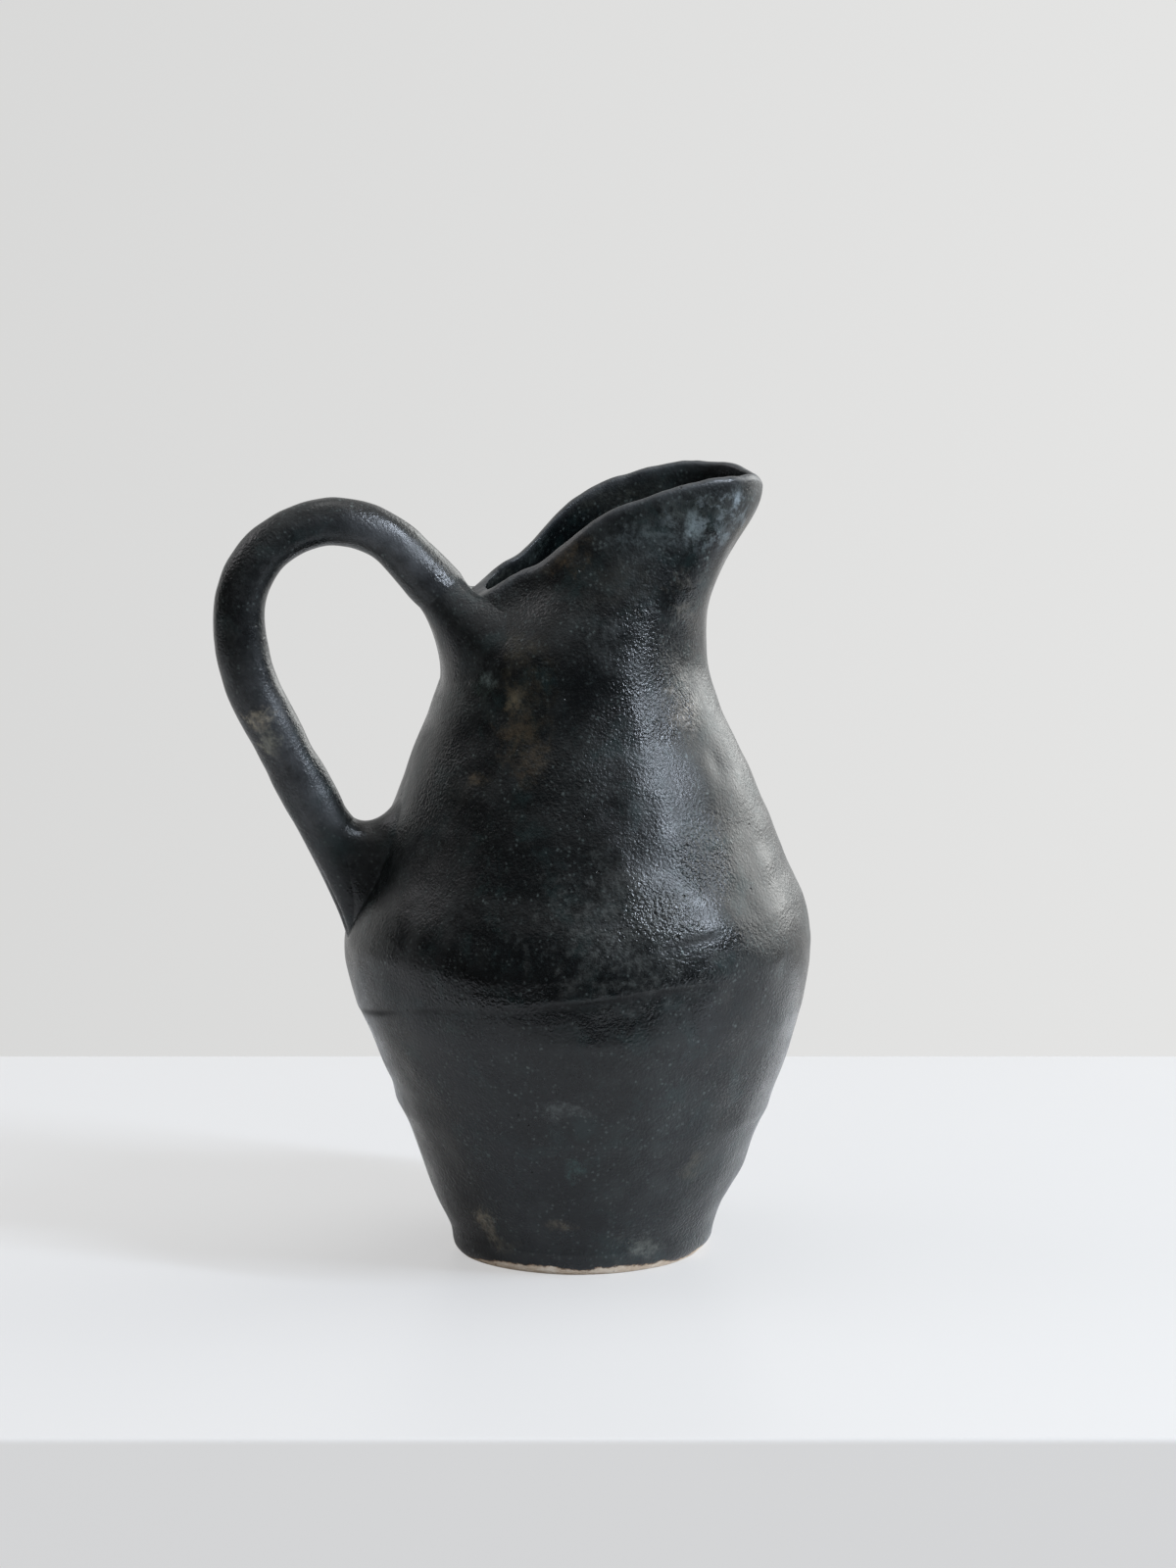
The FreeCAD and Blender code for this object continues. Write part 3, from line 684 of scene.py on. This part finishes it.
# The handle: a rolled rod of clay, bent while soft into a tight loop over the wall and a wide sweep
# down to the shoulder. It is a little thinner over the top of the loop, and has a tan thumb mark.

# The rod's middle line in the handle's plane, as x and z in mm: a straight start, the loop, the sweep
# and a straight end
rod_start = np.array((-43.292, 207.814))
loop_centre, loop_radius = np.array((-75.739, 200.527)), 28.7
sweep_centre, sweep_radius = np.array((-42.439, 200.527)), 62.0
loop_angles = (43.0, 180.0)
sweep_angles = (180.0, 207.093)
rod_end = np.array((-80.062, 137.937))
# Its radius at the ends and in the waist, and the share of its length that the waist takes
rod_radius, rod_waist, waist_share = 8.1, 7.3, 0.62
rod_farthest = -112.3
columns_of_rod = 72
# A soft ridge that the palm left along the near side: its angle round the rod, width and height in mm
ridge_at, ridge_width, ridge_height = math.radians(257), 0.62, 0.8


# A point on an arc, by its angle in degrees
def on_arc(centre, radius, angle):
    return centre + radius * np.array((math.cos(math.radians(angle)), math.sin(math.radians(angle))))


# The rod's middle line as close points, with its own direction at each
def rod_line():
    loop_start = on_arc(loop_centre, loop_radius, loop_angles[0])
    sweep_end = on_arc(sweep_centre, sweep_radius, sweep_angles[1])
    line = [rod_start + (loop_start - rod_start) * share for share in np.linspace(0, 1, 17)[:-1]]
    line += [on_arc(loop_centre, loop_radius, angle) for angle in np.linspace(*loop_angles, 73)[:-1]]
    line += [on_arc(sweep_centre, sweep_radius, angle) for angle in np.linspace(*sweep_angles, 31)[:-1]]
    line += [sweep_end + (rod_end - sweep_end) * share for share in np.linspace(0, 1, 40)]
    line = np.array(line)
    along = np.gradient(line, axis=0)
    along[0] = loop_start - rod_start
    along[-1] = rod_end - sweep_end
    along /= np.linalg.norm(along, axis=1, keepdims=True)
    return line, along


line, along = rod_line()
line_length = np.concatenate([[0], np.cumsum(np.linalg.norm(np.diff(line, axis=0), axis=1))])
line_share = line_length / line_length[-1]
bow = np.sin(np.pi * np.minimum(1, line_share / waist_share))
radii = rod_radius - bow * (rod_radius - rod_waist)
round_rod = np.linspace(0, 2 * np.pi, columns_of_rod + 1)


# Rings of the rod: the first column is on its outer side, and the ring goes round by way of +Y
def rod_rings(line, along, radii):
    outer = np.stack([-along[:, 1], 0 * along[:, 0], along[:, 0]], -1) * -1
    side = np.array((0, 1, 0))
    middle = np.stack([line[:, 0], 0 * line[:, 0], line[:, 1]], -1)
    spoke = outer[:, None, :] * np.cos(round_rod)[None, :, None] + side * np.sin(round_rod)[None, :, None]
    places = middle[:, None, :] + spoke * radii[:, None, None]
    proud = 0.55 * uneven(places, 17.0, 51.0) + 0.22 * uneven(places, 6.5, 12.0)
    ridge = ridge_height * np.exp(-((round_rod - ridge_at) / ridge_width) ** 2)
    places = places + spoke * (proud + ridge)[..., None]
    places[..., 0] = np.maximum(places[..., 0], rod_farthest)
    return places, middle


rod_places, rod_middle = rod_rings(line, along, radii)
first_cap = np.repeat(rod_middle[:1, None, :], columns_of_rod + 1, 1)
last_cap = np.repeat(rod_middle[-1:, None, :], columns_of_rod + 1, 1)
rod = lay_strip("handle_loop", np.concatenate([first_cap, rod_places, last_cap]), black_glaze)


# Where the painted sheen on the rod's two sides is strongest: x and z in mm, reach, and how much
sheen_places = ((-60.0, 219.0, 15.0, 1.0), (-96.0, 165.0, 17.0, 0.8), (-86.0, 147.0, 13.0, 0.8))


# A painted sheen: paler glaze on the rod's two sides, strongest at the sheen places
def painted_handle_sheen(points):
    side = np.clip((np.abs(points[:, 1]) / rod_waist - 0.62) / 0.38, 0, 1)
    held = np.zeros(len(points))
    for x, z, reach, most in sheen_places:
        away = np.hypot(points[:, 0] - x, points[:, 2] - z)
        held = np.maximum(held, most * np.exp(-(away / reach) ** 2))
    return side ** 2 * (0.06 + 0.94 * held)


mark_points(rod, "wear_and_painted_sheen", painted_handle_sheen)
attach(rod, "root")
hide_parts("handle_rod")

# The handle's top root: the end of the rod, wetted and worked out over the back of the wall right up
# to the notch, so that it runs down into the neck and round it with no edge.

# How deep in the wall a root's foot is closed, in mm
buried = 2.0


# Clay drawn from a ring of the rod out to a foot on the wall, column by column. Each end keeps its own
# direction for a way: the pull, in mm. The foot is sunk a little into the wall, and closed there.
def drawn_clay(ring, rod_way, rod_pull, foot_turns, foot_heights, foot_way, foot_pull, sink, steps):
    out = out_of_wall(foot_turns, foot_heights, 0 * foot_turns)
    foot = worked_wall(foot_turns, foot_heights, 0 * foot_turns) - out * sink
    rows = []
    for share in np.linspace(0, 1, steps):
        from_ring = 2 * share ** 3 - 3 * share ** 2 + 1
        leaving = (share ** 3 - 2 * share ** 2 + share) * rod_pull[:, None]
        arriving = (share ** 3 - share ** 2) * foot_pull[:, None]
        rows.append(from_ring * ring + leaving * rod_way + (1 - from_ring) * foot + arriving * foot_way)
    deep = foot - out * buried
    start_cap = np.repeat(ring.mean(0)[None, None, :], len(ring), 1)
    end_cap = np.repeat(deep.mean(0)[None, None, :], len(ring), 1)
    return np.concatenate([start_cap, np.array(rows), deep[None], end_cap])


# Directions along the wall away from a root's middle, for each column
def away_along_wall(foot_turns, foot_heights, middle_height):
    here = plain_wall(foot_turns, foot_heights, 0 * foot_turns)
    a_little = 0.02
    nearer = plain_wall(foot_turns + a_little * (np.pi - foot_turns),
                        foot_heights + a_little * (middle_height - foot_heights), 0 * foot_turns)
    way = here - nearer
    return way / np.linalg.norm(way, axis=-1, keepdims=True)


# The foot of a root from its outline: angle from the rod's outer side, turn away from the handle's
# plane, and height in mm, given for one half and the same on the other
def root_foot(outline):
    angle = np.degrees(round_rod)
    half_angle = np.minimum(angle, 360 - angle)
    side = np.where(angle <= 180, -1, 1)
    angles = [row[0] for row in outline]
    ends = [-angles[1]] + angles + [360 - angles[-2]]
    turns_out = [-outline[1][1]] + [row[1] for row in outline] + [-outline[-2][1]]
    heights_out = [outline[1][2]] + [row[2] for row in outline] + [outline[-2][2]]
    return (np.pi + side * smooth_line(ends, turns_out)(half_angle),
            smooth_line(ends, heights_out)(half_angle), half_angle)


top_outline = ((0, 0.0, 205.9), (22.5, 0.28, 206.3), (45, 0.56, 207.2), (67.5, 0.82, 205.8),
               (90, 0.94, 198.5), (112.5, 0.84, 189.5), (135, 0.60, 182.0), (157.5, 0.30, 178.0),
               (180, 0.0, 176.5))
top_middle = 197.0
top_turns, top_heights, from_outer = root_foot(top_outline)
top_into_wall = np.array((-along[0, 0], 0, -along[0, 1]))
# its upper edge, within 50 degrees of the rod's outer side, falls over the notch and into the mouth
top_edge = np.clip((50 - from_outer) / 40, 0, 1)[:, None]
top_edge = top_edge ** 2 * (3 - 2 * top_edge)
over_notch = np.array((0.5, 0, -0.87))
top_foot_way = ((1 - top_edge) * away_along_wall(top_turns, top_heights, top_middle)
                + top_edge * over_notch)
top_rod_pull = 5.0 + 5.0 * np.cos(np.radians(from_outer)) ** 4
top_foot_pull = 27.0 - 19.0 * top_edge[:, 0]
top_root = lay_strip("handle_top", drawn_clay(
    rod_places[0], top_into_wall, top_rod_pull,
    top_turns, top_heights, top_foot_way, top_foot_pull, sink=0.25, steps=40), black_glaze)
mark_points(top_root, "wear_and_painted_sheen", painted_handle_sheen)
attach(top_root, "root")
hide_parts("handle_top_root")

# The handle's tail: the lower end of the rod, laid on the shoulder and drawn down to a thin point on
# the belly, with a crease left along each side.
tail_outline = ((0, 0.0, 98.0), (22.5, 0.030, 99.5), (45, 0.058, 103.0), (67.5, 0.083, 108.0),
                (90, 0.10, 114.0), (112.5, 0.10, 120.0), (135, 0.08, 125.0), (157.5, 0.045, 128.5),
                (180, 0.0, 130.0))
tail_middle = 115.0
tail_turns, tail_heights, from_outer = root_foot(tail_outline)
tail_into_wall = np.array((along[-1, 0], 0, along[-1, 1]))
# its outer side, within 75 degrees, is drawn down along the wall, and the rest is pressed straight on
laid = np.clip((75 - from_outer) / 50, 0, 1)[:, None]
tail_foot_way = (laid * away_along_wall(tail_turns, tail_heights, tail_middle)
                 - (1 - laid) * out_of_wall(tail_turns, tail_heights, 0 * tail_turns))
tail_rod_pull = 16.0 + 14.0 * laid[:, 0]
tail_foot_pull = 8.0 + 10.0 * laid[:, 0]
tail = lay_strip("handle_foot", drawn_clay(
    rod_places[-1], tail_into_wall, tail_rod_pull,
    tail_turns, tail_heights, tail_foot_way, tail_foot_pull, sink=0.3, steps=44), black_glaze)
mark_points(tail, "wear_and_painted_sheen", painted_handle_sheen)
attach(tail, "root")
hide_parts("handle_tail")

# The crotch: clay thumbed in between the tail and the belly. It hangs in a round hollow over the top,
# where the thumb left it, and is wiped out onto the shoulder at both sides.
crotch_outline = ((0, 0.0, 101.5), (22.5, 0.035, 102.0), (45, 0.075, 104.0), (67.5, 0.125, 108.5),
                  (90, 0.18, 116.0), (112.5, 0.205, 127.0), (135, 0.19, 137.0), (157.5, 0.12, 143.8),
                  (180, 0.0, 146.5))
crotch_middle = 118.0
crotch_turns, crotch_heights, from_outer = root_foot(crotch_outline)
# it starts a little inside the tail's own ring
drawn_in = 0.05
crotch_ring = rod_places[-1] + (rod_places[-1].mean(0) - rod_places[-1]) * drawn_in
# the thumb wiped it out most on the rod's inner side
thumbed = np.clip((from_outer - 60) / 90, 0, 1)
crotch_way = away_along_wall(crotch_turns, crotch_heights, crotch_middle)
crotch_rod_pull = 24.0 + 8.0 * thumbed
crotch_foot_pull = 16.0 + 14.0 * thumbed ** 2
crotch = lay_strip("crotch_clay", drawn_clay(
    crotch_ring, tail_into_wall, crotch_rod_pull,
    crotch_turns, crotch_heights, crotch_way, crotch_foot_pull, sink=0.25, steps=48), black_glaze)
mark_points(crotch, "wear_and_painted_sheen", painted_handle_sheen)
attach(crotch, "root")
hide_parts("crotch_fill")

# The table: a white satin board with a just rounded edge, standing in front of a pale wall.
# Both are only the jug's surroundings.
view_turn = math.radians(-9)
# Sizes in metres: the board's, how far its middle lies behind the jug's, and the wall's
table_wide, table_deep, table_thick = 3.0, 0.467, 0.4
table_behind = 0.0265
wall_wide, wall_high, wall_behind = 12.0, 6.0, 2.9
wall_middle = 1.2


# A plain finish, only a little cloudy
def plain_finish(name, colour, roughness):
    material = bpy.data.materials.new(name)
    material.use_nodes = True
    tree = material.node_tree
    shader = tree.nodes["Principled BSDF"]
    place = add_node(tree, "TexCoord", {}).outputs["Object"]
    faint = cloud(tree, place, 160.0, 3.0, 0.5)
    light_side = [channel * 1.02 for channel in colour]
    dark_side = [channel * 0.98 for channel in colour]
    mixed = blend_colour(tree, faint, (*dark_side, 1), (*light_side, 1))
    tree.links.new(mixed, shader.inputs["Base Color"])
    shader.inputs["Roughness"].default_value = roughness
    return material


bpy.ops.object.select_all(action="DESELECT")
bpy.ops.mesh.primitive_cube_add(size=1, location=(0, table_behind, -table_thick / 2))
table = bpy.context.object
table.name = "table_top"
table.scale = (table_wide, table_deep, table_thick)
bpy.ops.object.transform_apply(location=True, rotation=False, scale=True)
bevel = table.modifiers.new("eased_edge", "BEVEL")
bevel.width = 0.0015
bevel.segments = 4
bpy.ops.object.modifier_apply(modifier="eased_edge")
table.rotation_euler = (0, 0, view_turn)
bpy.ops.object.transform_apply(location=True, rotation=True, scale=True)
table_finish = plain_finish("white_table", (0.70, 0.70, 0.705), 0.38)
tree = table_finish.node_tree
# to the eye it is mostly an even white, a little brighter on the left and in front
across = add_node(tree, "SeparateXYZ", {0: add_node(tree, "TexCoord", {}).outputs["Object"]})
brightness = spread(tree, across.outputs["X"], -0.3, 0.3, 0.775, 0.745)
brightness = joined(tree, "ADD", brightness, spread(tree, across.outputs["Y"], -0.14, -0.02, 0.03, 0.0))
glow = add_node(tree, "Emission", {"Color": (1.0, 1.0, 1.0, 1), "Strength": brightness})
by_eye = joined(tree, "MULTIPLY", add_node(tree, "LightPath", {}).outputs["Is Camera Ray"], 0.6)
shown = add_node(tree, "MixShader", {0: by_eye, 1: tree.nodes["Principled BSDF"].outputs["BSDF"],
                                     2: glow.outputs["Emission"]})
tree.links.new(shown.outputs["Shader"], tree.nodes["Material Output"].inputs["Surface"])
table.data.materials.append(table_finish)

bpy.ops.object.select_all(action="DESELECT")
bpy.ops.mesh.primitive_plane_add(size=1, location=(0, wall_behind, wall_middle))
wall = bpy.context.object
wall.name = "room_wall"
wall.scale = (wall_wide, wall_high, 1.0)
wall.rotation_euler = (math.radians(90), 0, 0)
bpy.ops.object.transform_apply(location=True, rotation=True, scale=True)
wall.rotation_euler = (0, 0, view_turn)
bpy.ops.object.transform_apply(location=True, rotation=True, scale=True)
wall_finish = plain_finish("pale_wall", (0.74, 0.74, 0.73), 0.9)
tree = wall_finish.node_tree
# to the eye, and in the glaze, it is an even pale grey that brightens to the right
across = add_node(tree, "SeparateXYZ", {0: add_node(tree, "TexCoord", {}).outputs["Object"]})
brightness = spread(tree, across.outputs["X"], -0.9, 1.6, 0.655, 0.80)
glow = add_node(tree, "Emission", {"Color": (1.0, 1.0, 0.992, 1), "Strength": brightness})
seen = add_node(tree, "LightPath", {})
by_eye = joined(tree, "MAXIMUM", seen.outputs["Is Camera Ray"], seen.outputs["Is Glossy Ray"])
shown = add_node(tree, "MixShader", {0: by_eye, 1: tree.nodes["Principled BSDF"].outputs["BSDF"],
                                     2: glow.outputs["Emission"]})
tree.links.new(shown.outputs["Shader"], tree.nodes["Material Output"].inputs["Surface"])
wall.data.materials.append(wall_finish)

# The light: a broad window behind on the right, a narrow bluish one in front of it, a skylight, and a
# far window on the left. The rest of the room is dim in the glaze.
jug_middle = Vector((0, 0, 0.12))


# A flat lamp of a window's size that faces the jug, as bright to the eye as its radiance says
def window_light(name, place, width, height, radiance, colour):
    bpy.ops.object.light_add(type="AREA", location=place)
    lamp = bpy.context.object
    lamp.name = name
    lamp.data.shape = "RECTANGLE"
    lamp.data.size = width
    lamp.data.size_y = height
    lamp.data.energy = radiance * math.pi * width * height
    lamp.data.color = colour
    lamp.rotation_euler = (jug_middle - Vector(place)).to_track_quat("-Z", "Y").to_euler()


window_light("broad_window", (1.57, 0.78, 0.78), 2.1, 1.2, 3.6, (0.98, 1.0, 0.98))
window_light("narrow_window", (1.29, -0.84, 1.28), 0.13, 1.35, 78.0, (0.78, 0.87, 1.0))
window_light("skylight", (0.1, 0.25, 1.9), 0.8, 0.8, 1.6, (1.0, 1.0, 1.0))
window_light("far_left_window", (-1.25, 0.65, 1.2), 0.8, 0.8, 2.0, (1.0, 0.96, 1.0))
# The room itself: in the glaze's shine it is bright overhead and dim below, and it lights all evenly
world = bpy.data.worlds.new("dim_room")
bpy.context.scene.world = world
world.use_nodes = True
tree = world.node_tree
room = tree.nodes["Background"]
room.inputs["Color"].default_value = (1.0, 1.0, 1.0, 1)
towards = add_node(tree, "VectorMath", {0: add_node(tree, "TexCoord", {}).outputs["Generated"],
                                        1: (0.20, 0.20, 0.95)}, operation="DOT_PRODUCT")
in_gloss = spread(tree, towards.outputs["Value"], 0.10, 0.95, 0.05, 0.8)
gloss_ray = add_node(tree, "LightPath", {}).outputs["Is Glossy Ray"]
strength = add_node(tree, "Mix", {0: gloss_ray, 2: 0.50, 3: in_gloss}, data_type="FLOAT")
tree.links.new(strength.outputs[0], room.inputs["Strength"])

# The camera: a long lens, far enough back that the jug is seen nearly without perspective. It stands
# a little to the handle's side and looks down ten degrees.
target = Vector((0.003, 0.0, 0.146))
back_to_camera = Vector((-0.15406, -0.97269, 0.17365))
camera_distance = 1.6
bpy.ops.object.camera_add(location=target + camera_distance * back_to_camera)
camera = bpy.context.object
camera.name = "view"
camera.rotation_euler = (-back_to_camera).to_track_quat("-Z", "Y").to_euler()
camera.data.lens = 118.8
camera.data.sensor_width = 36.0
bpy.context.scene.camera = camera
bpy.context.scene.view_settings.view_transform = "Standard"
